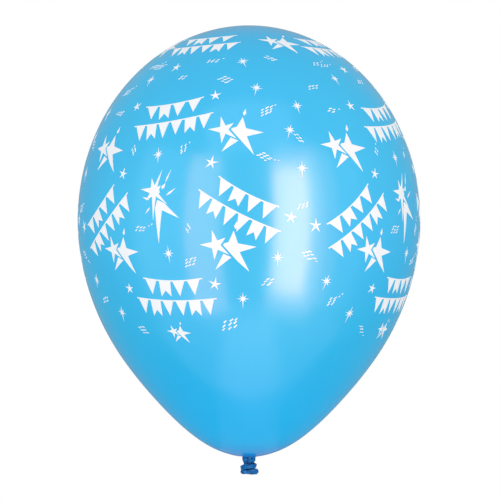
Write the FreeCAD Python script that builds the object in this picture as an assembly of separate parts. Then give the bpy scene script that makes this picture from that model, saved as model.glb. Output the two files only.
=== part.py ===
"""Tied latex balloon, inflated, crown up and knot down.

Frame: millimetres, +Z up through the crown. The origin is on the balloon's axis in the waist of
the neck, just above the knot, which is where a ribbon or a balloon stick takes hold of it.

One dipped rubber skin makes the whole balloon. Its zones differ in thickness and in how they move:
the thin envelope, the thicker dip end at its crown, the gathered throat, the twisted neck, the
overhand knot, the short tail and the rolled bead at the mouth. Each zone is a solid of its own.
The neck bends at two places, the throat and the waist, where nested spherical faces let the
neighbours turn about one point without touching.
"""

import math
import os

import FreeCAD
import Part

V = FreeCAD.Vector
UP = V(0, 0, 1)
SIDEWAYS = V(0, 1, 0)

# ---- driving dimensions ---------------------------------------------------------------------
belly_radius = 140.0  # an 11 inch (28 cm) round balloon at its rated size
belly_z = 198.8  # height of the widest ring above the waist of the neck
crown_height = 159.2  # from the widest ring up to the crown
taper_depth = 193.5  # from the widest ring down to the bottom of the envelope
wall = 0.3  # the real wall is about 0.015 mm, too thin to mesh

# The lower outline, as (share of belly_radius, share of taper_depth), from the belly to the pole.
LOWER_OUTLINE = [
    (1.0, 0.0),
    (0.952, 0.253),
    (0.806, 0.507),
    (0.543, 0.760),
    (0.365, 0.887),
    (0.184, 0.9716),
    (0.0, 1.0),
]

crown_cap_radius = 11.0  # the dip end, where latex drained and set thicker
crown_cap_thickness = 0.8
gather_radius = 9.0  # the collar of gathered latex at the envelope's mouth
gather_roof = 0.8  # latex left above the socket of the collar

throat_z = 3.6  # the point that the envelope sways about
neck_bulge_radius = 5.0  # the twisted neck just below the envelope
joint_gap = 0.15  # between the nested spherical faces
sleeve_thickness = 0.5
sleeve_rim_angle = 30.0  # degrees above the horizon of the sway point

waist_radius = 4.1  # where the ribbon is tied
knot_pivot_z = -1.2  # the point that the knot swings about
core_thickness = 0.4
core_rim_angle = -28.0  # degrees, below the horizon of the knot's pivot

turn_centre_z = -3.1  # the turn of the overhand knot
turn_major_radius = 4.6
turn_minor_radius = 2.1
turn_lift = 10.0  # degrees, right side up
turn_clearance = 0.4  # round the strand inside it

tuck_centre_z = -5.9  # the strand tucked under the turn
tuck_radius = 3.9
tuck_half_height = 1.0
tuck_flat_z = -6.7  # where the tail comes out of it

bead_centre = V(0.6, 0, -7.7)  # the rolled rim of the mouth
bead_major_radius = 5.6
bead_minor_radius = 1.75
bead_lift = 5.0  # degrees, right side up

tail_top_radius = 2.2  # the short tube between the knot and the bead
tail_rim_gap = 0.2

# ---- worked out from them -------------------------------------------------------------------
sleeve_inner = neck_bulge_radius + joint_gap
sleeve_outer = sleeve_inner + sleeve_thickness
socket_radius = sleeve_outer + joint_gap
core_inner = waist_radius + joint_gap
core_outer = core_inner + core_thickness
turn_clear_radius = core_outer + turn_clearance
tail_bottom_radius = bead_major_radius - bead_minor_radius - bead_centre.x - tail_rim_gap
above_crown_z = belly_z + 2 * crown_height


# ---- helpers --------------------------------------------------------------------------------
def revolved(edges):
    """A solid turned about Z from a closed outline in the XZ plane."""
    return Part.Face(Part.Wire(edges)).revolve(V(0, 0, 0), UP, 360)


def ball(radius, z):
    return Part.makeSphere(radius, V(0, 0, z))


def cylinder(radius, low, high):
    return Part.makeCylinder(radius, high - low, V(0, 0, low))


def leaned_ring(major, minor, centre, lift):
    """A torus about Z, then turned so that its +X side rises by lift degrees."""
    ring = Part.makeTorus(major, minor, centre, UP)
    ring.rotate(centre, SIDEWAYS, -lift)
    return ring


def spherical_shell(inner, outer, z):
    return ball(outer, z).cut(ball(inner, z))


def height_on_ball(radius, z, angle):
    """The height of the ring on a ball that lies angle degrees above the ball's horizon."""
    return z + radius * math.sin(math.radians(angle))


# ---- the envelope and what belongs to it ----------------------------------------------------
def balloon_solid(inset):
    """The whole balloon shape as a filled solid, with its surface moved inwards by inset."""
    radius = belly_radius - inset
    height = crown_height - inset
    depth = taper_depth - inset
    belly = V(radius, 0, belly_z)
    crown = V(0, 0, belly_z + height)
    pole = V(0, 0, belly_z - depth)
    ellipse = Part.Ellipse(crown, belly, V(0, 0, belly_z))
    ends = sorted([ellipse.parameter(crown), ellipse.parameter(belly)])
    dome = Part.ArcOfEllipse(ellipse, *ends)
    points = [V(r * radius, 0, belly_z - d * depth) for r, d in LOWER_OUTLINE]
    taper = Part.BSplineCurve()
    taper.interpolate(Points=points, InitialTangent=V(0, 0, -1), FinalTangent=V(-1, 0, 0))
    axis = Part.makeLine(pole, crown)
    return revolved([dome.toShape(), taper.toShape(), axis])


def envelope(outer):
    """The thin wall, open where the crown cap and the gathered throat fill it."""
    crown_hole = cylinder(crown_cap_radius, belly_z, above_crown_z)
    throat_hole = cylinder(gather_radius, 0, belly_z)
    return outer.cut(balloon_solid(wall)).cut(crown_hole).cut(throat_hole)


def crown_cap(outer):
    reach = cylinder(crown_cap_radius, belly_z, above_crown_z)
    return outer.common(reach).cut(balloon_solid(crown_cap_thickness))


def throat_gather(outer):
    """The collar that closes the envelope's mouth, with a round socket for the neck."""
    collar = cylinder(gather_radius, 0, throat_z + socket_radius + gather_roof)
    return outer.common(collar).cut(ball(socket_radius, throat_z))


# ---- the neck -------------------------------------------------------------------------------
def throat_sleeve():
    """The flexing ring between the neck and the gathered throat: a spherical cap."""
    rim = height_on_ball(sleeve_inner, throat_z, sleeve_rim_angle)
    above = cylinder(2 * sleeve_outer, rim, rim + 2 * sleeve_outer)
    return spherical_shell(sleeve_inner, sleeve_outer, throat_z).common(above)


def neck():
    """The twisted neck: a bulge in the throat, the waist, and the rounded end in the knot."""
    bulge = ball(neck_bulge_radius, throat_z)
    waist = cylinder(waist_radius, knot_pivot_z, throat_z)
    end = ball(waist_radius, knot_pivot_z)
    return bulge.fuse([waist, end]).removeSplitter()


def knot_core():
    """The strand inside the knot's turn, cupped round the end of the neck."""
    rim = height_on_ball(core_inner, knot_pivot_z, core_rim_angle)
    below = cylinder(2 * core_outer, rim - 2 * core_outer, rim)
    return spherical_shell(core_inner, core_outer, knot_pivot_z).common(below)


# ---- the knot and the tail ------------------------------------------------------------------
def knot_turn():
    centre = V(0, 0, turn_centre_z)
    ring = leaned_ring(turn_major_radius, turn_minor_radius, centre, turn_lift)
    return ring.cut(ball(turn_clear_radius, knot_pivot_z))


def knot_tuck(turn):
    """The flattened strand under the turn, with a flat underside that the tail comes out of."""
    squashed = FreeCAD.Matrix()
    squashed.scale(tuck_radius, tuck_radius, tuck_half_height)
    squashed.move(V(0, 0, tuck_centre_z))
    lens = ball(1, 0).transformGeometry(squashed)
    above = cylinder(2 * tuck_radius, tuck_flat_z, 0)
    return lens.common(above).cut(ball(turn_clear_radius, knot_pivot_z)).cut(turn)


def rolled_bead():
    return leaned_ring(bead_major_radius, bead_minor_radius, bead_centre, bead_lift)


def tail_tube():
    """The short flared tube from the knot down into the bead."""
    foot = V(0, 0, bead_centre.z)
    return Part.makeCone(tail_bottom_radius, tail_top_radius, tuck_flat_z - foot.z, foot)


# ---- build ----------------------------------------------------------------------------------
def build():
    outer = balloon_solid(0)
    turn = knot_turn()
    return {
        "envelope": envelope(outer),
        "crown_cap": crown_cap(outer),
        "throat_gather": throat_gather(outer),
        "throat_sleeve": throat_sleeve(),
        "neck": neck(),
        "knot_core": knot_core(),
        "knot_turn": turn,
        "knot_tuck": knot_tuck(turn),
        "tail_tube": tail_tube(),
        "rolled_bead": rolled_bead(),
    }


os.makedirs("parts", exist_ok=True)
for name, shape in build().items():
    shape.exportStep(f"parts/{name}.step")
    box = shape.BoundBox
    print(
        f"{name}: valid {shape.isValid()}, solids {len(shape.Solids)}, {shape.Volume:.1f} mm3,"
        f" z {box.ZMin:.2f} to {box.ZMax:.2f}, x {box.XMin:.2f} to {box.XMax:.2f}"
    )
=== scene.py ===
"""Looks of a tied latex balloon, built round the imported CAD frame. Metres, +Z up to the crown.

The skin is one revolved sheet with the CAD outline, and its white ink is thin raised film on it.
The neck, knot, tail and rolled bead are gathered latex, modelled in mesh code at the knot.
Lengths are in millimetres and are multiplied by MM where they become coordinates, but the materials
and the studio are in metres.
"""

import math
import random

import bmesh
import bpy
import numpy as np
from mathutils import Matrix, Vector, noise


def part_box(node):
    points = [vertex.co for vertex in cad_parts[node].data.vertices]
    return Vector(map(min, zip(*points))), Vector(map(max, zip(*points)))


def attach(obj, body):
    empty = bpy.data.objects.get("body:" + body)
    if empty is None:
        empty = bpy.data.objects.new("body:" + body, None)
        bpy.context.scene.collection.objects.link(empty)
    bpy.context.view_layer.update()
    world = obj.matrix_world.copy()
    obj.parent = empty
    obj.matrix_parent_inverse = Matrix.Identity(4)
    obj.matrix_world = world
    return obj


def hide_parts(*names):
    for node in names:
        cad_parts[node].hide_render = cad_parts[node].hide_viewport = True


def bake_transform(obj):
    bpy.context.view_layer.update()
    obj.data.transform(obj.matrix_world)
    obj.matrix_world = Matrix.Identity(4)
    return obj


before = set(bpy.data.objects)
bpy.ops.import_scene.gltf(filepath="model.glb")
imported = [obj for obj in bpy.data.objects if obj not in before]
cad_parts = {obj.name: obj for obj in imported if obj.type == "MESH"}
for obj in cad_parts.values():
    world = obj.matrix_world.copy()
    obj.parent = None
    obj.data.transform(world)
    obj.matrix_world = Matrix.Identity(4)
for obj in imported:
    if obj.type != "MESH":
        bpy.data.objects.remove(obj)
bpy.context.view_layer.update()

MM = 0.001
TURN = 2 * math.pi

# ---- driving dimensions, in millimetres ------------------------------------------------------
SKIN_LOW, SKIN_HIGH = (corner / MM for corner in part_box("envelope"))
CROWN_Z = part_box("crown_cap")[1].z / MM
POLE_Z = 5.3  # bottom of the envelope
BELLY_Z = 198.8
BELLY_RADIUS = (SKIN_HIGH.x - SKIN_LOW.x) / 2
SWAY_POINT = Vector((0.0, 0.0, 3.6))  # the point that the envelope sways about
HOLE_RADIUS = 5.5  # where the skin ends round the neck

# The lower outline, as (share of the belly's radius, share of the depth below it).
LOWER_OUTLINE = [
    (1.0, 0.0),
    (0.952, 0.253),
    (0.806, 0.507),
    (0.543, 0.760),
    (0.365, 0.887),
    (0.184, 0.9716),
    (0.0, 1.0),
]


# ---- helpers ----------------------------------------------------------------------------------
def linear(red, green, blue):
    """Linear RGBA from 0 to 255 display values."""
    shares = [channel / 255 for channel in (red, green, blue)]
    return [s / 12.92 if s <= 0.04045 else ((s + 0.055) / 1.055) ** 2.4 for s in shares] + [1.0]


def new_object(name, vertices, faces, material, closed=True):
    """A smooth mesh object from millimetres. A closed one gets its faces turned outward."""
    mesh = bpy.data.meshes.new(name)
    mesh.from_pydata([Vector(v) * MM for v in vertices], [], faces)
    mesh.validate()
    bm = bmesh.new()
    bm.from_mesh(mesh)
    if closed and bm.calc_volume(signed=True) < 0:  # its faces look inward
        bmesh.ops.reverse_faces(bm, faces=bm.faces)
        bm.to_mesh(mesh)
    bm.free()
    piece = bpy.data.objects.new(name, mesh)
    bpy.context.scene.collection.objects.link(piece)
    mesh.materials.append(material)
    mesh.polygons.foreach_set("use_smooth", [True] * len(mesh.polygons))
    return piece


def grid_faces(rows, columns, wrap_rows=False):
    """Quads of a grid whose columns close round, and whose rows do too if wrap_rows."""
    last = rows if wrap_rows else rows - 1
    return [
        (
            row * columns + column,
            row * columns + (column + 1) % columns,
            (row + 1) % rows * columns + (column + 1) % columns,
            (row + 1) % rows * columns + column,
        )
        for row in range(last)
        for column in range(columns)
    ]


def capped_faces(rows, columns):
    """Quads of an open grid, and one face over each of its two ends."""
    faces = grid_faces(rows, columns)
    faces.append(tuple(range(columns))[::-1])
    faces.append(tuple(range((rows - 1) * columns, rows * columns)))
    return faces


def move_mesh(source, target):
    """Adds the mesh source to the mesh target, and frees source."""
    mesh = bpy.data.meshes.new("part")
    source.to_mesh(mesh)
    source.free()
    target.from_mesh(mesh)
    bpy.data.meshes.remove(mesh)


def math_node(tree, operation, first, second):
    """The output of a maths node that takes numbers or outputs."""
    node = tree.nodes.new("ShaderNodeMath")
    node.operation = operation
    for socket, value in zip(node.inputs, (first, second)):
        if isinstance(value, (int, float)):
            socket.default_value = value
        else:
            tree.links.new(value, socket)
    return node.outputs["Value"]


def smoothstep(low, high, value):
    share = min(1.0, max(0.0, (value - low) / (high - low)))
    return share * share * (3 - 2 * share)


# ---- the balloon's outline --------------------------------------------------------------------
def clamped_spline(points, start_slope, end_slope, steps):
    """Points of a cubic through the given ones, with its directions at both ends given."""
    points = np.array(points, float)
    knots = np.concatenate([[0], np.cumsum(np.linalg.norm(np.diff(points, axis=0), axis=1))])
    gaps = np.diff(knots)
    count = len(points)
    system, wanted = np.eye(count), np.zeros_like(points)
    wanted[0], wanted[-1] = start_slope, end_slope
    for i in range(1, count - 1):
        before, after = gaps[i - 1], gaps[i]
        system[i, i - 1:i + 2] = after, 2 * (before + after), before
        rise_before = (points[i] - points[i - 1]) / before
        rise_after = (points[i + 1] - points[i]) / after
        wanted[i] = 3 * (after * rise_before + before * rise_after)
    slopes = np.linalg.solve(system, wanted)
    line = []
    for at in np.linspace(0, knots[-1], steps):
        i = min(np.searchsorted(knots, at, side="right") - 1, count - 2)
        gap, t = gaps[i], (at - knots[i]) / gaps[i]
        line.append(
            (2 * t**3 - 3 * t**2 + 1) * points[i]
            + (t**3 - 2 * t**2 + t) * gap * slopes[i]
            + (3 * t**2 - 2 * t**3) * points[i + 1]
            + (t**3 - t**2) * gap * slopes[i + 1]
        )
    return line


OUTLINE_STEPS = 600  # points on each half
SLOPE_STEP = 0.5  # how far each way the outline is followed to find its direction


def outline():
    """(radius, height) from the pole at the throat up to the crown, closely spaced."""
    depth = BELLY_Z - POLE_Z
    low = [(r * BELLY_RADIUS, BELLY_Z - d * depth) for r, d in LOWER_OUTLINE]
    taper = clamped_spline(low, (0, -1), (-1, 0), OUTLINE_STEPS)[::-1]
    angles = np.linspace(0, math.pi / 2, OUTLINE_STEPS)[1:]
    height = CROWN_Z - BELLY_Z
    dome = [(BELLY_RADIUS * math.cos(a), BELLY_Z + height * math.sin(a)) for a in angles]
    return np.array([tuple(p) for p in taper] + dome)


OUTLINE = outline()
ARC = np.concatenate([[0], np.cumsum(np.linalg.norm(np.diff(OUTLINE, axis=0), axis=1))])


def on_outline(arc):
    """Radius, height and outward normal (radial, vertical) at a distance up the outline."""
    radius = np.interp(arc, ARC, OUTLINE[:, 0])
    height = np.interp(arc, ARC, OUTLINE[:, 1])
    ahead, behind = min(arc + SLOPE_STEP, ARC[-1]), max(arc - SLOPE_STEP, 0)
    along = np.array([
        np.interp(ahead, ARC, OUTLINE[:, 0]) - np.interp(behind, ARC, OUTLINE[:, 0]),
        np.interp(ahead, ARC, OUTLINE[:, 1]) - np.interp(behind, ARC, OUTLINE[:, 1]),
    ])
    along /= np.linalg.norm(along)
    return radius, height, (along[1], -along[0])


def arc_at_height(height):
    return float(np.interp(height, OUTLINE[:, 1], ARC))


# ---- materials --------------------------------------------------------------------------------
class Shader:
    """A node material with one Principled shader and short calls for what feeds it."""

    def __init__(self, name, roughness, **sockets):
        self.material = bpy.data.materials.new(name)
        self.material.use_nodes = True
        self.tree = self.material.node_tree
        self.principled = self.tree.nodes["Principled BSDF"]
        self.principled.inputs["Roughness"].default_value = roughness
        for socket, value in sockets.items():
            self.principled.inputs[socket.replace("_", " ")].default_value = value
        self.coordinates = self.node("ShaderNodeTexCoord").outputs["Object"]

    def node(self, kind, **settings):
        made = self.tree.nodes.new(kind)
        for name, value in settings.items():
            setattr(made, name, value)
        return made

    def link(self, output, target):
        self.tree.links.new(output, target)

    def noise(self, scale, detail, stretch=(1, 1, 1)):
        """A noise of the object's own space, with scale in waves per metre."""
        mapping = self.node("ShaderNodeMapping")
        mapping.inputs["Scale"].default_value = stretch
        texture = self.node("ShaderNodeTexNoise")
        texture.inputs["Scale"].default_value = scale
        texture.inputs["Detail"].default_value = detail
        self.link(self.coordinates, mapping.inputs["Vector"])
        self.link(mapping.outputs["Vector"], texture.inputs["Vector"])
        return texture.outputs["Fac"]

    def remap(self, value, low, high, to_low, to_high):
        node = self.node("ShaderNodeMapRange", interpolation_type="SMOOTHSTEP")
        limits = {"From Min": low, "From Max": high, "To Min": to_low, "To Max": to_high}
        for socket, number in limits.items():
            node.inputs[socket].default_value = number
        self.link(value, node.inputs["Value"])
        return node.outputs["Result"]

    def maths(self, operation, first, second):
        return math_node(self.tree, operation, first, second)

    def mix(self, share, first, second):
        """A colour between two colours or colour outputs."""
        node = self.node("ShaderNodeMix", data_type="RGBA")
        self.link(share, node.inputs["Factor"])
        for socket, value in ((node.inputs[6], first), (node.inputs[7], second)):
            if isinstance(value, list):
                socket.default_value = value
            else:
                self.link(value, socket)
        return node.outputs[2]

    def axis_parts(self):
        """Distance from the Z axis and height, in metres."""
        parts = self.node("ShaderNodeSeparateXYZ")
        self.link(self.coordinates, parts.inputs["Vector"])
        across = [self.maths("MULTIPLY", parts.outputs[a], parts.outputs[a]) for a in "XY"]
        radius = self.maths("SQRT", self.maths("ADD", *across), 0)
        return radius, parts.outputs["Z"]

    def colour(self, output):
        self.link(output, self.principled.inputs["Base Color"])

    def roughness(self, output):
        self.link(output, self.principled.inputs["Roughness"])

    def bump(self, height, distance, strength=1.0):
        node = self.node("ShaderNodeBump")
        node.inputs["Strength"].default_value = strength
        node.inputs["Distance"].default_value = distance
        self.link(height, node.inputs["Height"])
        self.link(node.outputs["Normal"], self.principled.inputs["Normal"])


SKIN_BLUE = linear(38, 187, 240)
SKIN_BLUE_VARIED = linear(44, 190, 240)
# Low on the skin: the deeper tone of thicker rubber, brightened as painted light in place of light from
# below.
LOW_THICK_AND_LIT_BLUE = linear(24, 189, 251)
THROAT_BLUE = linear(8, 134, 228)
CROWN_BLUE = linear(34, 176, 232)
GATHERED_BLUE = linear(12, 114, 184)
# Painted shade, laid in the valleys of the folds.
GATHERED_FOLD_SHADE = linear(6, 80, 142)
# Painted highlight, laid in patches.
GATHERED_HIGHLIGHT = linear(34, 152, 212)
CREASE_REACH = 0.0016  # how far round a point the folds count for the painted crease shade
CREASE_OPEN = (0.35, 0.85)  # how open a crease is where the painted shade is darkest, and where it stops
CREASE_SHADE = 0.3  # share of the fold-shade colour that is left in the darkest painted crease shade
INK_WHITE = linear(243, 246, 250)
INK_THIN = linear(230, 239, 247)
LOW_TINT_HEIGHTS = (0.02, 0.13)  # each tint is full at one of its limits and gone at the other
THROAT_TINT_RADII = (0.005, 0.05)
THROAT_TINT_HEIGHTS = (0.02, 0.06)
CROWN_TINT_RADII = (0.008, 0.095)
CROWN_TINT_HEIGHTS = (0.28, 0.34)


def skin_material():
    """Stretched latex: smooth, glossy, a little deeper where the rubber is thicker, and brightened low down
    as painted light.
    """
    s = Shader("skin_latex", 0.18, IOR=1.5)
    radius, height = s.axis_parts()
    clouds = s.noise(9, 3)
    streaks = s.noise(30, 2, stretch=(1, 1, 0.12))
    base = s.mix(s.remap(clouds, 0.35, 0.65, 0, 1), SKIN_BLUE, SKIN_BLUE_VARIED)
    # Deeper tone of thicker rubber low down, with painted light that brightens the underside.
    base = s.mix(s.remap(height, *LOW_TINT_HEIGHTS, 1, 0), base, LOW_THICK_AND_LIT_BLUE)
    near_throat = s.maths(
        "MULTIPLY",
        s.remap(radius, *THROAT_TINT_RADII, 1, 0),
        s.remap(height, *THROAT_TINT_HEIGHTS, 1, 0),
    )
    base = s.mix(near_throat, base, THROAT_BLUE)
    near_crown = s.maths(
        "MULTIPLY",
        s.remap(radius, *CROWN_TINT_RADII, 1, 0),
        s.remap(height, *CROWN_TINT_HEIGHTS, 0, 1),
    )
    base = s.mix(near_crown, base, CROWN_BLUE)
    s.colour(base)
    s.roughness(s.remap(streaks, 0.3, 0.7, 0.16, 0.21))
    fine = s.noise(700, 2)
    grain = s.maths("ADD", s.maths("MULTIPLY", streaks, 0.6), s.maths("MULTIPLY", fine, 0.15))
    s.bump(grain, 0.00005)
    return s.material


def gathered_material(name, shade=1.0):
    """Unstretched latex in folds: deeper colour, satin, with painted shade in the valleys of the folds and
    painted highlights in patches. A shade below 1 darkens every tone of the copy, as painted shade.
    """
    s = Shader(name, 0.45, IOR=1.2)
    folds = s.noise(420, 3)
    cloud = s.noise(300, 2)
    fold_shade, blue, painted_highlight = (
        [channel * shade for channel in tone[:3]] + [1.0]
        for tone in (GATHERED_FOLD_SHADE, GATHERED_BLUE, GATHERED_HIGHLIGHT)
    )
    # Painted shade where the folds' bump is low.
    base = s.mix(s.remap(folds, 0.35, 0.6, 0, 1), fold_shade, blue)
    # Painted highlights in patches of the cloud noise.
    base = s.mix(s.remap(cloud, 0.48, 0.75, 0, 1), base, painted_highlight)
    # Painted shade: an ambient occlusion node darkens the colour in creases and where surfaces close in.
    creases = s.node("ShaderNodeAmbientOcclusion", samples=4)
    creases.inputs["Distance"].default_value = CREASE_REACH
    crease_shade_colour = [channel * CREASE_SHADE for channel in fold_shade[:3]] + [1.0]
    base = s.mix(s.remap(creases.outputs["AO"], *CREASE_OPEN, 0, 1), crease_shade_colour, base)
    s.colour(base)
    s.roughness(s.remap(cloud, 0.3, 0.7, 0.32, 0.5))
    s.bump(folds, 0.0004, 0.8)
    return s.material


def ink_material():
    """Screen-printed elastic ink, slightly thin where the skin has stretched it."""
    s = Shader("print_ink", 0.42, IOR=1.45)
    speckle = s.noise(1500, 3)
    cloud = s.noise(60, 2)
    worn = s.maths("MULTIPLY", s.remap(speckle, 0.58, 0.75, 0, 1), s.remap(cloud, 0.35, 0.65, 0.2, 1))
    s.colour(s.mix(worn, INK_WHITE, INK_THIN))
    s.roughness(s.remap(speckle, 0.3, 0.7, 0.36, 0.5))
    s.bump(speckle, 0.00002, 0.5)
    return s.material


SKIN = skin_material()
GATHERED = gathered_material("gathered_latex")
# A copy darkened to 0.6: painted shade for the core that lies inside the knot.
GATHERED_SHADED_COPY = gathered_material("gathered_latex_painted_shade", 0.6)
INK = ink_material()


# ---- the skin ---------------------------------------------------------------------------------
SKIN_SEGMENTS = 192
SKIN_RINGS = 150
RING_CROWDING = 0.65  # how strongly the rings close up towards the poles
PLEATS = 17
PLEAT_DEPTH = 0.3
PLEAT_AT_HOLE = 0.3  # share of that depth at the skin's edge
PLEAT_FULL_RADIUS = 9.0  # where the share has grown to 1
PLEAT_FADE = 7.0  # over this distance they die out
CROWN_DIP_RADIUS = 7.0
CROWN_DIP_HEIGHT = 0.25


def skin_arcs():
    """Ring positions up the outline, closer together towards both poles."""
    start = float(np.interp(HOLE_RADIUS, OUTLINE[:100, 0], ARC[:100]))
    shares = np.linspace(0, 1, SKIN_RINGS)
    eased = 0.5 - 0.5 * np.cos(np.pi * shares)
    return start + (ARC[-1] - start) * ((1 - RING_CROWDING) * shares + RING_CROWDING * eased)


def pleat(radius, height, angle):
    """The soft gathers that run up from the neck and die out within a few centimetres."""
    if height > BELLY_Z:
        return 0.0
    rise = PLEAT_AT_HOLE + (1 - PLEAT_AT_HOLE) * smoothstep(HOLE_RADIUS, PLEAT_FULL_RADIUS, radius)
    fade = rise * math.exp(-((radius - HOLE_RADIUS) / PLEAT_FADE))
    wander = noise.noise(Vector((math.cos(angle) * 1.7, math.sin(angle) * 1.7, radius * 0.05)))
    return PLEAT_DEPTH * fade * math.sin(PLEATS * angle + 5 * wander)


def crown_dip(radius, height):
    """The slightly raised, thicker spot where the rubber dripped off the mould."""
    if height < BELLY_Z:
        return 0.0
    return CROWN_DIP_HEIGHT * math.exp(-((radius / CROWN_DIP_RADIUS) ** 2))


def skin_point(arc, angle, lift=0.0):
    """A point on the skin, angle 0 at the front (-Y) and growing to the right (+X)."""
    radius, height, (out, up) = on_outline(arc)
    lift += pleat(radius, height, angle) + crown_dip(radius, height)
    radius, height = radius + out * lift, height + up * lift
    return radius * math.sin(angle), -radius * math.cos(angle), height


def make_skin():
    arcs = skin_arcs()
    vertices = [
        skin_point(arc, TURN * k / SKIN_SEGMENTS)
        for arc in arcs[:-1]
        for k in range(SKIN_SEGMENTS)
    ]
    rings = len(arcs) - 1
    faces = grid_faces(rings, SKIN_SEGMENTS)
    vertices.append(skin_point(arcs[-1], 0))
    last = (rings - 1) * SKIN_SEGMENTS
    faces += [
        (last + k, last + (k + 1) % SKIN_SEGMENTS, len(vertices) - 1)
        for k in range(SKIN_SEGMENTS)
    ]
    return new_object("balloon_skin", vertices, faces, SKIN)


skin = make_skin()
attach(skin, "envelope")
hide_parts("envelope", "crown_cap", "throat_gather")

# ---- the print --------------------------------------------------------------------------------
INK_TOP = 0.10  # how far the film stands above the skin
INK_ROOT = 0.06  # how far its edge goes into it
INK_CELL = 4.0  # largest step of the film's mesh, so that it follows the curve
GARLAND_ROWS = [(4, 12.2, 12.6, 15.8), (6, 11.2, 13.2, 0.0)]  # (pennants, spacing, length, height)
PENNANT_WIDTH = 0.41  # half a pennant's width, as a share of the spacing
CORD_SAG = 2.0
CORD_OVERHANG = 1.0
CORD_EDGES = (0.45, 0.5)  # how far the cord's edges are below and above its middle
DASH_ACROSS, DASH_UP, DASH_LEAN = 3.3, 2.1, 1.1  # spacing of a cluster's dashes, and its lean
JITTER = 0.3  # how far a pennant or dash may be off its place
QUARTERS = 4  # how often the print repeats round the balloon


def polar(angle, length):
    return length * math.cos(math.radians(angle)), length * math.sin(math.radians(angle))


def ray_star(rays, waist, centre=(0, 0)):
    """A star outline from (angle, length) rays, with its inner corners at radius waist."""
    rays = sorted(rays)
    points = []
    for (angle, length), (following, _) in zip(rays, rays[1:] + [(rays[0][0] + 360, 0)]):
        points.append(polar(angle, length))
        points.append(polar((angle + following) / 2, waist))
    return [(x + centre[0], y + centre[1]) for x, y in points]


def leaf(start, end, width):
    """A thin four-cornered stroke, widest a third of the way along."""
    start, end = Vector(start), Vector(end)
    along = end - start
    side = Vector((-along.y, along.x)).normalized() * width / 2
    middle = start + along * 0.35
    return [tuple(start), tuple(middle + side), tuple(end), tuple(middle - side)]


def stroke(start, end, width):
    """A short brush dash with blunt ends."""
    start, end = Vector(start), Vector(end)
    along = (end - start).normalized()
    side = Vector((-along.y, along.x)) * width / 2
    inset = along * width * 0.35
    return [
        tuple(p) for p in (
            start - side * 0.5, end - side * 0.6, end + along * 0.2, end + side * 0.6,
            start + inset + side, start + side * 0.5,
        )
    ]


class Flat:
    """Flat outlines in millimetres, cut and meshed before they are laid on the skin."""

    def __init__(self):
        self.bm = bmesh.new()

    def outline(self, points, *cuts):
        """Adds an outline. Each cut is (point, direction, gap), and only what lies that way is kept."""
        part = bmesh.new()
        face = part.faces.new([part.verts.new((x, y, 0)) for x, y in points])
        face.normal_update()
        bmesh.ops.triangulate(part, faces=[face])
        for (x, y), angle, gap in cuts:
            normal = Vector((*polar(angle, 1), 0))
            bmesh.ops.bisect_plane(
                part,
                geom=part.verts[:] + part.edges[:] + part.faces[:],
                plane_co=Vector((x, y, 0)) + normal * gap / 2,
                plane_no=-normal,
                clear_outer=True,
            )
        move_mesh(part, self.bm)
        return self

    def turned(self, angle, scale=1.0):
        bmesh.ops.transform(
            self.bm,
            matrix=Matrix.Rotation(math.radians(angle), 4, "Z") @ Matrix.Scale(scale, 4),
            verts=self.bm.verts,
        )
        return self

    def diced(self):
        """Cut into cells small enough to follow the balloon."""
        for axis in (0, 1):
            low = min(v.co[axis] for v in self.bm.verts)
            high = max(v.co[axis] for v in self.bm.verts)
            normal = Vector((axis == 0, axis == 1, 0))
            for step in range(1, int((high - low) / INK_CELL) + 1):
                bmesh.ops.bisect_plane(
                    self.bm,
                    geom=self.bm.verts[:] + self.bm.edges[:] + self.bm.faces[:],
                    plane_co=normal * (low + step * INK_CELL),
                    plane_no=normal,
                )
        return self


def pennant_tail(notched, x, top, wide, long):
    """The lower edge of a party pennant, from left to right: a swallowtail if notched, else a point."""
    if notched:
        return [(x - wide * 0.86, top - long), (x, top - long * 0.62), (x + wide * 0.86, top - long)]
    return [(x, top - long)]


def garland(rng):
    """Two rows of party pennants hanging from their cords."""
    flat = Flat()
    below, above = CORD_EDGES
    for count, pitch, drop, level in GARLAND_ROWS:
        half = count * pitch / 2
        reach = half + CORD_OVERHANG

        def cord(x, level=level, half=half):
            return level - CORD_SAG * (1 - (x / half) ** 2)

        comb = [(-reach, cord(-reach) - below)]
        for k in range(count):
            x = -half + pitch * (k + 0.5) + rng.uniform(-JITTER, JITTER)
            wide = pitch * PENNANT_WIDTH
            long = drop * rng.uniform(0.9, 1.0)
            tail = pennant_tail(k % 3 == 1, x, cord(x), wide, long)
            comb += [(x - wide, cord(x - wide) - below), *tail, (x + wide, cord(x + wide) - below)]
        comb.append((reach, cord(reach) - below))
        steps = 2 * count
        comb += [(x, cord(x) + above) for x in (reach - 2 * reach * k / steps for k in range(steps + 1))]
        flat.outline(comb)
    return flat


def split_star(rng):
    """A five-rayed star cut by slanting gaps, with a smaller star at its shoulder."""
    flat = Flat()
    small = [(104, 12.5), (36, 10.0), (-36, 13.0), (-96, 12.0), (177, 13.0)]
    large = [(84, 14.5), (2, 19.0), (-57, 22.5), (-131, 22.0), (156, 9.5)]
    small = ray_star([(a + rng.uniform(-2, 2), r) for a, r in small], 3.9, (-8.5, 3.5))
    large = ray_star([(a + rng.uniform(-3, 3), r) for a, r in large], 6.2, (5.0, 0.5))
    flat.outline(small)
    flat.outline(large, ((-3.4, 3.8), 41, 1.0), ((-3.4, 3.2), -35, 1.0))
    flat.outline(large, ((2.6, -3.6), 221, 1.0), ((2.0, -5.0), -114, 0.8))
    flat.outline(leaf((7.4, 16.2), (8.6, 22.5), 2.8))
    return flat


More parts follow.
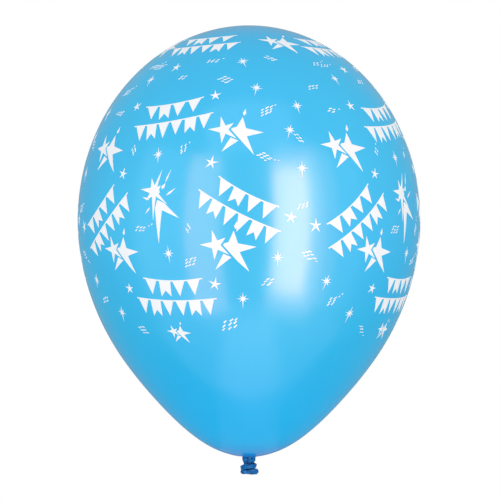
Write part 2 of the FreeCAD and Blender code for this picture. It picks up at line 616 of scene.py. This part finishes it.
def burst(rng):
    """A starburst with long falling rays and a few loose splinters."""
    flat = Flat()
    rays = [(106, 14), (70, 23), (36, 9), (-10, 7), (-40, 21), (-91, 29), (-136, 13), (171, 17)]
    flat.outline(ray_star([(a + rng.uniform(-2, 2), r) for a, r in rays], 5.7))
    flat.outline([(4.2, -8.6), (12.4, -12.0), (29.0, -27.0), (10.0, -19.0), (5.6, -52.0), (1.8, -17.0)])
    for start, end, width in (
        ((12.0, 8.5), (17.5, 22.0), 1.7),
        ((8.5, 2.0), (12.5, 8.0), 3.6),
        ((14.0, -4.5), (24.5, 3.0), 2.2),
        ((-5.5, -8.5), (-14.0, -5.8), 2.4),
        ((-4.2, -16.0), (-10.0, -22.5), 2.0),
    ):
        flat.outline(leaf(start, end, width))
    return flat


def sparkle(rng):
    """A little twinkle: thin rays, the lowest one long."""
    turn = rng.uniform(-8, 8)
    lengths = [5.6, 3.9, 4.6, 3.6, 7.6, 3.8, 4.8, 3.7]
    rays = [(90 - 45 * k + turn, r * rng.uniform(0.9, 1.1)) for k, r in enumerate(lengths)]
    return Flat().outline(ray_star(rays, 1.3))


def small_star(rng):
    turn = rng.uniform(-14, 14)
    rays = [(90 + 72 * k + turn, rng.uniform(4.4, 5.9)) for k in range(5)]
    return Flat().outline(ray_star(rays, 1.5))


def dashes(rng):
    """A compact cluster of short slanting strokes, sometimes with a trail of dots."""
    flat = Flat()
    rows = rng.choice((2, 2, 3))
    columns = rng.choice((2, 3, 3))
    slant = rng.uniform(18, 48)
    for row in range(rows):
        for column in range(columns):
            x = DASH_ACROSS * (column - columns / 2) + DASH_LEAN * row + rng.uniform(-JITTER, JITTER)
            y = DASH_UP * (row - rows / 2) + rng.uniform(-JITTER, JITTER)
            dx, dy = polar(slant + rng.uniform(-8, 8), rng.uniform(1.9, 2.9))
            flat.outline(stroke((x, y), (x + dx, y + dy), rng.uniform(0.95, 1.25)))
    for k in range(rng.choice((0, 1, 2))):
        x, y = DASH_ACROSS * columns / 2 + 2.6 * (k + 1), 1.4 + 1.3 * k
        flat.outline(stroke((x, y), (x + 1.1, y + 0.7), 1.0))
    return flat


# Where each motif lies in one quarter of the print, which repeats four times round:
# (degrees round from the front, height above the tie, tilt in degrees, scale).
PRINT = {
    "garland": (garland, [
        (-29, 274, 8, 1.0), (-53, 197, 38, 1.0), (-3, 204, -27, 1.0), (-26, 138, 0, 1.0), (-31, 336, 4, 0.9),
    ]),
    "split_star": (split_star, [
        (-5, 262, 0, 0.93), (33, 251, 0, 0.93), (-46, 172, 0, 0.86), (-7, 175, 0, 0.94), (-27, 111, 0, 0.45),
        (20, 337, -8, 0.75),
    ]),
    "burst": (burst, [(-31, 219, 0, 0.76)]),
    "sparkle": (sparkle, [
        (-49, 308, 0, 0.9), (-3, 320, 20, 1.0), (3, 298, -15, 1.0), (18, 284, 10, 1.0), (14, 265, -10, 1.0),
        (-31, 247, 0, 1.0), (17, 236, 0, 1.0), (-26, 172, 0, 1.0), (9, 169, 0, 1.0), (26, 151, -20, 1.0),
        (-2, 138, 0, 1.0), (38, 126, -15, 1.0),
    ]),
    "small_star": (small_star, [
        (-13, 292, 0, 1.0), (-48, 286, 10, 0.9), (-37, 317, 0, 0.9), (-45, 233, 0, 0.9), (-12, 240, 0, 1.0),
        (13, 199, 0, 1.0), (21, 193, 12, 1.0), (-44, 145, 0, 0.9), (-11, 149, 0, 1.0),
    ]),
    "dashes": (dashes, [
        (-50, 319, 0, 0.9), (-30, 308, 0, 1.0), (-18, 321, 5, 1.0), (-10, 305, -30, 1.0), (11, 323, -35, 1.0),
        (35, 320, 5, 1.0), (27, 300, 10, 1.0), (32, 282, -10, 1.1), (6, 280, 20, 1.1), (17, 259, -60, 0.9),
        (5, 245, -35, 1.0), (-42, 251, 60, 0.9), (-22, 251, 30, 1.0), (-36, 191, 0, 1.0), (-19, 191, 60, 0.9),
        (17, 208, 10, 1.0), (-19, 166, 15, 1.0), (19, 171, -50, 1.0), (6, 151, -10, 1.1), (29, 136, 12, 1.1),
        (-43, 113, -60, 0.9), (-7, 119, 15, 1.4),
    ]),
}


def lay_on_skin(flat, azimuth, height, bm):
    """Adds a flat motif to bm as a closed film that follows the skin."""
    centre = arc_at_height(height)
    film = flat.bm
    bmesh.ops.remove_doubles(film, verts=film.verts, dist=1e-4)
    bmesh.ops.dissolve_degenerate(film, edges=film.edges, dist=0.01)
    bmesh.ops.delete(film, geom=[e for e in film.edges if not e.link_faces], context="EDGES")
    bmesh.ops.delete(film, geom=[v for v in film.verts if not v.link_faces], context="VERTS")
    bmesh.ops.recalc_face_normals(film, faces=film.faces)
    if film.faces and sum(f.normal.z for f in film.faces) < 0:
        bmesh.ops.reverse_faces(film, faces=film.faces)
    raised = bmesh.ops.extrude_face_region(film, geom=film.faces[:])
    lifted = {e for e in raised["geom"] if isinstance(e, bmesh.types.BMVert)}
    for vertex in film.verts:
        x, y, _ = vertex.co
        arc = min(max(centre + y, 0), ARC[-1] - 1)
        radius = on_outline(arc)[0]
        lift = INK_TOP if vertex in lifted else -INK_ROOT
        vertex.co = skin_point(arc, math.radians(azimuth) + x / radius, lift)
    bmesh.ops.recalc_face_normals(film, faces=film.faces)
    move_mesh(film, bm)


def make_print():
    """One piece for each kind of motif."""
    for kind, (draw, places) in PRINT.items():
        rng = random.Random(kind)
        bm = bmesh.new()
        for quarter in range(QUARTERS):
            for azimuth, height, tilt, scale in places:
                motif = draw(rng).turned(tilt, scale).diced()
                lay_on_skin(motif, azimuth + 360 / QUARTERS * quarter, height, bm)
        mesh = bpy.data.meshes.new(f"print_{kind}")
        bmesh.ops.scale(bm, vec=(MM, MM, MM), verts=bm.verts)
        bm.to_mesh(mesh)
        bm.free()
        piece = bpy.data.objects.new(f"print_{kind}", mesh)
        bpy.context.scene.collection.objects.link(piece)
        mesh.materials.append(INK)
        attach(piece, "envelope")


make_print()

# ---- the neck ---------------------------------------------------------------------------------
KNOT_PIVOT = Vector((0.0, 0.0, -1.2))  # the point that the knot swings about
WAIST_REACH = 4.65  # the neck's waist stays within this of that point
KNOT_CLEARANCE = 4.75  # and the knot stays this far from it
BULGE_OUT, BULGE_UP = 1.4, -0.1  # how far the neck's bulge comes out and up as the knot swings
BULGE_CLEARANCE = 5.7  # the knot stays this far from the middle of that bulge
TWIST = 0.32  # radians of twist for each millimetre down the neck
NECK_FLUTES = 8
NECK_FOLD = 0.8  # depth of the gathers, which die out where the neck is thinner than FOLD_RADIUS
FOLD_RADIUS = 3.0
NECK_LEAN = -0.35  # how far the neck's bulge stands to the left
LEAN_HEIGHTS = ((0.0, 2.4), (3.6, 5.2))  # between which the lean comes in, and then goes out
NECK_PROFILE = [  # (height, radius): inside the throat, bulge, waist, rounded end in the knot
    (8.2, 2.0), (7.4, 3.6), (6.4, 4.7), (5.4, 5.25), (4.6, 5.4), (3.6, 5.45), (2.8, 5.5), (2.0, 5.3),
    (1.2, 4.8), (0.3, 4.35), (-0.5, 4.15), (-1.6, 3.95), (-2.6, 3.3), (-3.2, 2.0),
]
NECK_REACH = 5.58  # the neck stays within this of the sway point, inside the skin's edge
LINING = (5.63, 5.71)  # distances of the throat's lining from the sway point
LINING_SPAN = (13, 58)  # degrees above the horizon


def lobes(angle, count, depth):
    """How far a gathered surface stands out: round lobes with sharp valleys between them."""
    roundness, middle = 0.75, 0.7
    return depth * (abs(math.cos(count * angle / 2)) ** roundness - middle)


def neck_folds(height, angle):
    """Twisted gathers that wander and cross as they run down the neck."""
    here = Vector((math.cos(angle) * 1.5, math.sin(angle) * 1.5, height * 0.4))
    wander = 0.45 * noise.noise(here)
    fold = lobes(angle + TWIST * height + wander, NECK_FLUTES, NECK_FOLD)
    return fold + 0.22 * noise.noise(here * 2.6) + 0.1 * noise.noise(here * 6)


def clamped_neck(point):
    """Keeps a point of the neck clear of what swings round it: the skin's edge, and the knot."""
    above, below = point - SWAY_POINT, point - KNOT_PIVOT
    if above.length <= NECK_REACH or below.length <= WAIST_REACH:
        return point
    choices = SWAY_POINT + above.normalized() * NECK_REACH, KNOT_PIVOT + below.normalized() * WAIST_REACH
    return min(choices, key=lambda choice: (choice - point).length)


def make_neck():
    """The twisted neck, turned about Z, pushed a little to the left at its bulge, closed at both ends."""
    rows, segments = 90, 144
    heights, radii = zip(*sorted(NECK_PROFILE))
    comes_in, goes_out = LEAN_HEIGHTS
    vertices = []
    for z in np.linspace(heights[-1], heights[0], rows):
        radius = float(np.interp(z, heights, radii))
        fade = min(1.0, radius / FOLD_RADIUS)
        shift = NECK_LEAN * smoothstep(*comes_in, z) * (1 - smoothstep(*goes_out, z))
        for k in range(segments):
            angle = TURN * k / segments
            r = radius + fade * neck_folds(z, angle)
            point = Vector((r * math.sin(angle) + shift, -r * math.cos(angle), z))
            vertices.append(clamped_neck(point))
    return new_object("twisted_neck", vertices, capped_faces(rows, segments), GATHERED)


neck = make_neck()
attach(neck, "neck")
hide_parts("neck")


def make_lining():
    """The thin ring of throat just inside the skin, between the neck and the skin's edge."""
    segments, steps = 96, 8
    angles = np.radians(np.linspace(*LINING_SPAN, steps))
    section = [(LINING[0], a) for a in angles] + [(LINING[1], a) for a in angles[::-1]]
    vertices = [
        SWAY_POINT + distance * Vector((math.cos(a) * math.cos(t), math.cos(a) * math.sin(t), math.sin(a)))
        for distance, a in section  # a is the angle above the horizon
        for t in np.linspace(0, TURN, segments, endpoint=False)
    ]
    faces = grid_faces(len(section), segments, True)
    lining = new_object("throat_lining", vertices, faces, GATHERED)
    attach(lining, "throat")
    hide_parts("throat_sleeve")


make_lining()

# ---- the knot ---------------------------------------------------------------------------------
KNOT_ROUTE = [  # (degrees round from the front to the right, distance from the axis, height, radius)
    (178, 4.6, -3.4, 0.9), (150, 4.6, -2.6, 1.6), (95, 4.0, -2.2, 2.25), (40, 4.3, -2.0, 2.2),
    (0, 4.55, -2.0, 2.05), (-45, 4.7, -2.9, 2.05), (-90, 4.85, -4.0, 2.2), (-135, 4.7, -4.5, 2.1),
    (-180, 4.3, -4.7, 1.9), (-215, 4.0, -5.2, 1.3),
]
STRAND_FOLDS = 6
STRAND_FOLD = 0.7  # their depth
STRAND_TWIST = 0.006  # radians for each ring
STRAND_END_RINGS = 9  # rings over which an end of the strand rounds off
STRAND_END = 0.12  # share of the radius at the very end


def swept(path, radii, segments, folds):
    """Rings of a tube along a path, with folds standing out of its surface."""
    rings, side = [], None
    for i, centre in enumerate(path):
        ahead, behind = path[min(i + 1, len(path) - 1)], path[max(i - 1, 0)]
        along = (ahead - behind).normalized()
        if side is None:
            side = along.cross(Vector((0, 0, 1))).normalized()
        side = (side - along * side.dot(along)).normalized()
        up = along.cross(side)
        for k in range(segments):
            angle = TURN * k / segments
            r = radii[i] + folds(i, angle)
            rings.append(centre + (side * math.cos(angle) + up * math.sin(angle)) * r)
    return rings


def strand_folds(i, angle):
    """Lengthwise creases that wander and pinch along the strand."""
    here = Vector((math.cos(angle) * 1.2, math.sin(angle) * 1.2, i * 0.035))
    fold = lobes(angle + STRAND_TWIST * i + 0.5 * noise.noise(here), STRAND_FOLDS, STRAND_FOLD)
    return fold + 0.2 * noise.noise(here * 2.4) + 0.08 * noise.noise(here * 7)


def clear_of_neck(point):
    """Moves a point of the knot out of what the neck fills as the knot swings."""
    outward = Vector((point.x, point.y, 0)).normalized()
    bulge = SWAY_POINT + outward * BULGE_OUT + Vector((0, 0, BULGE_UP))
    for centre, clearance in ((bulge, BULGE_CLEARANCE), (KNOT_PIVOT, KNOT_CLEARANCE)):
        away = point - centre
        if away.length < clearance:
            point = centre + away.normalized() * clearance
    return point


def make_knot():
    """One turn of the neck's latex round its own waist, from the back right round the front."""
    rows, segments = 190, 60
    stations = []
    for degrees, distance, height, radius in KNOT_ROUTE:
        a = math.radians(degrees)
        stations.append((distance * math.sin(a), -distance * math.cos(a), height, radius))
    line = clamped_spline(stations, (-1, 0, 0, 0), (1, 0, 0, 0), rows)
    from_end = [min(i, rows - 1 - i) for i in range(rows)]
    ends = [min(1.0, math.sqrt(rings / STRAND_END_RINGS) + STRAND_END) for rings in from_end]
    path = [Vector(p[:3]) for p in line]
    radii = [p[3] * end for p, end in zip(line, ends)]
    vertices = [
        clear_of_neck(v)
        for v in swept(path, radii, segments, lambda i, a: ends[i] * strand_folds(i, a))
    ]
    knot = new_object("knot_strand", vertices, capped_faces(rows, segments), GATHERED)
    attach(knot, "knot")
    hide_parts("knot_turn", "knot_tuck")


make_knot()

# ---- the tail and the rolled bead -------------------------------------------------------------
BEAD_CENTRE = Vector((0.55, 0.0, -7.4))
BEAD_WIDE = 5.5  # half the width of the mouth's ring, to the middle of the roll
BEAD_DEEP = 4.0  # the same from front to back
BEAD_ROLL = 1.62  # radius of the roll
ROLL_FULLER_LEFT, ROLL_FULLER_RIGHT = 0.26, 0.14  # how much thicker it is at the two sides
ROLL_UNEVEN = 0.12
GROOVE_AT = 2.2  # radians round the roll
GROOVE_WIDTH, GROOVE_DEPTH = 0.3, 0.2
LIP_WAVE = 0.45  # how far the lips go up and down
LIP_WAVE_AT = math.radians(190)
LIP_LEFT_RISE = 0.8
BEAD_LIFT = 5.5  # degrees, right side up
BEAD_FACE = 15.0  # degrees that the mouth turns to the front
BEAD_TURN = (
    Matrix.Rotation(math.radians(-BEAD_LIFT), 3, "Y") @ Matrix.Rotation(math.radians(-BEAD_FACE), 3, "X")
)


def lip_line(angle):
    """Middle of the rolled rim, angle 0 to the right and growing towards the back."""
    wave = LIP_WAVE * math.sin(2 * angle + LIP_WAVE_AT) + LIP_LEFT_RISE * max(0.0, -math.cos(angle))
    return Vector((BEAD_WIDE * math.cos(angle), BEAD_DEEP * math.sin(angle), wave))


def bead_point(x, y, height):
    """A point given from the middle of the lips, height along their own axis."""
    return BEAD_CENTRE + BEAD_TURN @ Vector((x, y, height))


def make_bead():
    """The rolled rim, drawn out flat into lips, thickest on the left where the knot pulls it."""
    steps, segments = 180, 40
    vertices = []
    for i in range(steps):
        angle = TURN * i / steps
        out = Vector((BEAD_DEEP * math.cos(angle), BEAD_WIDE * math.sin(angle), 0)).normalized()
        round_here = Vector((math.cos(angle) * 2, math.sin(angle) * 2, 3.0))
        side = math.cos(angle)  # 1 at the right, -1 at the left
        fuller = ROLL_FULLER_LEFT * max(0.0, -side) + ROLL_FULLER_RIGHT * max(0.0, side)
        roll = BEAD_ROLL * (1 + ROLL_UNEVEN * noise.noise(round_here) + fuller)
        groove_at = GROOVE_AT + 0.8 * noise.noise(round_here * 0.8)
        for k in range(segments):
            around = TURN * k / segments
            here = Vector((math.cos(angle) * 5, math.sin(angle) * 5, math.cos(around)))
            groove = math.exp(-(((around - groove_at) / GROOVE_WIDTH) ** 2))
            r = roll * (1 - GROOVE_DEPTH * groove) + 0.14 * noise.noise(here) + 0.06 * noise.noise(here * 3)
            point = lip_line(angle) + out * r * math.cos(around) + Vector((0, 0, r * math.sin(around)))
            vertices.append(bead_point(*point))
    bead = new_object("rolled_lip", vertices, grid_faces(steps, segments, True), GATHERED)
    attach(bead, "tail")
    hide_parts("rolled_bead")


TAIL_ROOT = [  # (height above the lips, radius): a cup under the knot, then a narrow throat
    (3.5, 3.9), (3.1, 3.6), (2.65, 3.2), (2.3, 2.8), (2.0, 2.4), (1.5, 1.75), (0.8, 1.25),
]
TAIL_MOUTH = -0.6  # height of the tail's lower edge, inside the roll
TAIL_RIM = 0.96  # where that edge is, as a share of the way to the middle of the roll
TAIL_FLARE = 1.3  # how late the tail widens: 1 is evenly
TAIL_FOLDS = 11
TAIL_FOLD_THROAT, TAIL_FOLD_MOUTH = 0.09, 0.02  # their depth, as a share of the radius
TAIL_WALL = 0.25


def make_tail():
    """The gathered tail: a cup under the knot, then a trumpet that opens into the rolled rim."""
    segments, steps = 96, 26
    throat, narrow = TAIL_ROOT[-1]
    rings = [(height, radius, 0.0) for height, radius in TAIL_ROOT[:-1]]
    for t in np.linspace(0, 1, steps):
        rings.append((throat + (TAIL_MOUTH - throat) * (1 - (1 - t) ** 2), narrow, t))
    vertices = []
    for height, radius, t in rings:
        depth = (TAIL_FOLD_THROAT - TAIL_FOLD_MOUTH) * (1 - t) + TAIL_FOLD_MOUTH
        for k in range(segments):
            angle = TURN * k / segments
            fold = 1 + depth * math.cos(TAIL_FOLDS * angle + 2 * t)
            r = radius * fold
            inner = Vector((r * math.cos(angle) - BEAD_CENTRE.x, r * math.sin(angle)))
            across = inner.lerp(lip_line(angle).xy * TAIL_RIM, t ** TAIL_FLARE)
            vertices.append(clear_of_neck(bead_point(*across, height)))
    faces = [face[::-1] for face in grid_faces(len(rings), segments)]  # they look outward
    tail = new_object("tail_sleeve", vertices, faces, GATHERED, closed=False)
    thickness = tail.modifiers.new("thickness", "SOLIDIFY")
    thickness.thickness = TAIL_WALL * MM
    thickness.offset = 1.0
    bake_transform(tail)
    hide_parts("tail_tube")


make_bead()
make_tail()

# ---- what stays of the CAD --------------------------------------------------------------------
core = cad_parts["knot_core"].data
core.materials.clear()
# The core inside the knot takes the darkened copy, as painted shade.
core.materials.append(GATHERED_SHADED_COPY)

# ---- studio -----------------------------------------------------------------------------------
CENTRE = Vector((0.0008, 0, 0.1746))
VIEW_DISTANCE = 1.5
FIELD_WIDTH = 0.4102
PANEL_DISTANCE = 2.6
ROOM_LIGHT = 0.84  # the room's brightness, as light on surfaces
ROOM_FRONT = 1.1  # its brightness in reflections, in front of the balloon
ROOM_BACK = 0.32  # and behind it, at the balloon's height
ROOM_BACK_RISE = 0.22  # how much brighter the back is overhead, and dimmer underfoot
ROOM_BACK_LEAST = 0.15
ROOM_TURN = (-0.2, 0.85)  # how far back the front's brightness ends, and the back's begins
DIM_ABOVE, DIM_BELOW = 0.35, -0.85  # how much further back the top and the bottom count
WARM_WHITE = (1.0, 0.5, 0.25)
FLOOR_LEVEL = -0.35
FLOOR_RADIUS = 12.0
FLOOR_GREY = [0.86, 0.87, 0.88, 1]
FLOOR_FADE = (0.3, 1.8)  # distances between which it turns from grey into white light


def make_camera():
    data = bpy.data.cameras.new("camera")
    data.sensor_width = 36
    data.lens = data.sensor_width * VIEW_DISTANCE / FIELD_WIDTH
    camera = bpy.data.objects.new("camera", data)
    camera.location = CENTRE + Vector((0, -VIEW_DISTANCE, 0))
    camera.rotation_euler = (math.radians(90), 0, 0)
    bpy.context.scene.collection.objects.link(camera)
    bpy.context.scene.camera = camera


def make_world():
    """A white room. In reflections it is dimmer behind the balloon, and above and below it."""
    world = bpy.data.worlds.new("studio")
    bpy.context.scene.world = world
    world.use_nodes = True
    tree = world.node_tree
    links = tree.links

    coordinates = tree.nodes.new("ShaderNodeTexCoord")
    parts = tree.nodes.new("ShaderNodeSeparateXYZ")
    links.new(coordinates.outputs["Generated"], parts.inputs["Vector"])
    height = parts.outputs["Z"]
    above = math_node(tree, "MULTIPLY", math_node(tree, "MAXIMUM", height, 0.0), DIM_ABOVE)
    below = math_node(tree, "MULTIPLY", math_node(tree, "MINIMUM", height, 0.0), DIM_BELOW)
    backward = math_node(tree, "ADD", parts.outputs["Y"], math_node(tree, "ADD", above, below))
    ramp = tree.nodes.new("ShaderNodeMapRange")
    ramp.interpolation_type = "SMOOTHSTEP"
    for socket, number in zip(("From Min", "From Max", "To Min"), (*ROOM_TURN, ROOM_FRONT)):
        ramp.inputs[socket].default_value = number
    back = math_node(tree, "ADD", math_node(tree, "MULTIPLY", height, ROOM_BACK_RISE), ROOM_BACK)
    links.new(math_node(tree, "MAXIMUM", back, ROOM_BACK_LEAST), ramp.inputs["To Max"])
    links.new(backward, ramp.inputs["Value"])
    ray = tree.nodes.new("ShaderNodeLightPath")
    change = math_node(tree, "SUBTRACT", ramp.outputs["Result"], ROOM_LIGHT)
    reflected = math_node(tree, "MULTIPLY", ray.outputs["Is Glossy Ray"], change)
    lit = math_node(tree, "ADD", reflected, ROOM_LIGHT)
    level = math_node(tree, "MAXIMUM", lit, ray.outputs["Is Camera Ray"])
    links.new(level, tree.nodes["Background"].inputs["Strength"])
    tree.nodes["Background"].inputs["Color"].default_value = (1, 1, 1, 1)


def panel(name, place, aim, width, height, radiance, shines_on="reflections", colour=(1, 1, 1)):
    """A rectangular soft light at place, facing aim, seen only in reflections or only as light."""
    data = bpy.data.lights.new(name, "AREA")
    data.shape = "RECTANGLE"
    data.size, data.size_y = width, height
    data.energy = radiance * math.pi * width * height
    data.color = colour
    light = bpy.data.objects.new(name, data)
    light.location = place
    light.rotation_mode = "QUATERNION"
    light.rotation_quaternion = (place - aim).to_track_quat("Z", "Y")
    light.visible_camera = False
    light.visible_diffuse = shines_on == "surfaces"
    light.visible_glossy = shines_on == "reflections"
    bpy.context.scene.collection.objects.link(light)


def softbox(name, azimuth, elevation, width, height, radiance, **settings):
    """A panel round the balloon. Azimuth grows to the right of the camera's side."""
    a, e = math.radians(azimuth), math.radians(elevation)
    away = Vector((math.sin(a) * math.cos(e), -math.cos(a) * math.cos(e), math.sin(e)))
    panel(name, CENTRE + away * PANEL_DISTANCE, CENTRE, width, height, radiance, **settings)


def floor_strip(name, left, right, front, back, radiance):
    """A lit strip of the studio floor, seen in the balloon's underside."""
    place = Vector(((left + right) / 2, (front + back) / 2, CENTRE.z - PANEL_DISTANCE))
    panel(name, place, place + Vector((0, 0, 1)), right - left, back - front, radiance)


def make_floor():
    """A wide pale floor that fades into the white room."""
    rings, segments = 24, 96
    vertices = []
    for i in range(1, rings + 1):
        radius = FLOOR_RADIUS / MM * (i / rings) ** 2
        for k in range(segments):
            angle = TURN * k / segments
            vertices.append((radius * math.cos(angle), radius * math.sin(angle), FLOOR_LEVEL / MM))
    faces = grid_faces(rings, segments)
    faces.append(tuple(range(segments))[::-1])
    s = Shader("pale_floor", 0.8)
    s.principled.inputs["Emission Color"].default_value = (1, 1, 1, 1)
    s.principled.inputs["Specular IOR Level"].default_value = 0
    distance, _ = s.axis_parts()
    far = s.remap(distance, *FLOOR_FADE, 0, 1)
    s.link(far, s.principled.inputs["Emission Strength"])
    s.colour(s.mix(far, FLOOR_GREY, [0, 0, 0, 1]))
    floor = new_object("floor", vertices, faces, s.material)
    floor.visible_glossy = False
    floor.visible_shadow = False


make_camera()
make_world()
make_floor()
softbox("key", 27.5, -4, 1.0, 3.0, 10.5, colour=WARM_WHITE)
softbox("key_edge", 28.5, -4, 1.3, 3.7, 4.0, colour=WARM_WHITE)
softbox("key_halo", 32, -4, 1.7, 4.5, 2.4, colour=WARM_WHITE)
softbox("key_spill", 47, -2, 1.1, 3.6, 1.8, colour=WARM_WHITE)
softbox("fill", -30, -6, 1.1, 4.0, 4.8, colour=WARM_WHITE)
softbox("side_left", -61, -3, 1.7, 3.6, 0.8)
softbox("side_right", 68, -3, 1.0, 3.4, 0.4)
softbox("overhead", 0, 50, 2.4, 1.4, 1.0)
softbox("front", 5, 10, 2.0, 2.0, 0.8, shines_on="surfaces")
floor_strip("floor_middle", -0.75, 0.75, -2.3, -0.3, 1.3)
floor_strip("floor_middle_edge", -0.9, 0.9, -3.1, -0.2, 0.9)
floor_strip("floor_middle_back", -0.86, 0.86, -0.2, 5.0, 0.2)
floor_strip("floor_left", -3.2, -0.86, -3.1, -0.1, 0.5)
floor_strip("floor_right", 0.86, 3.2, -3.1, -0.1, 0.55)
bpy.context.scene.view_settings.view_transform = "Standard"
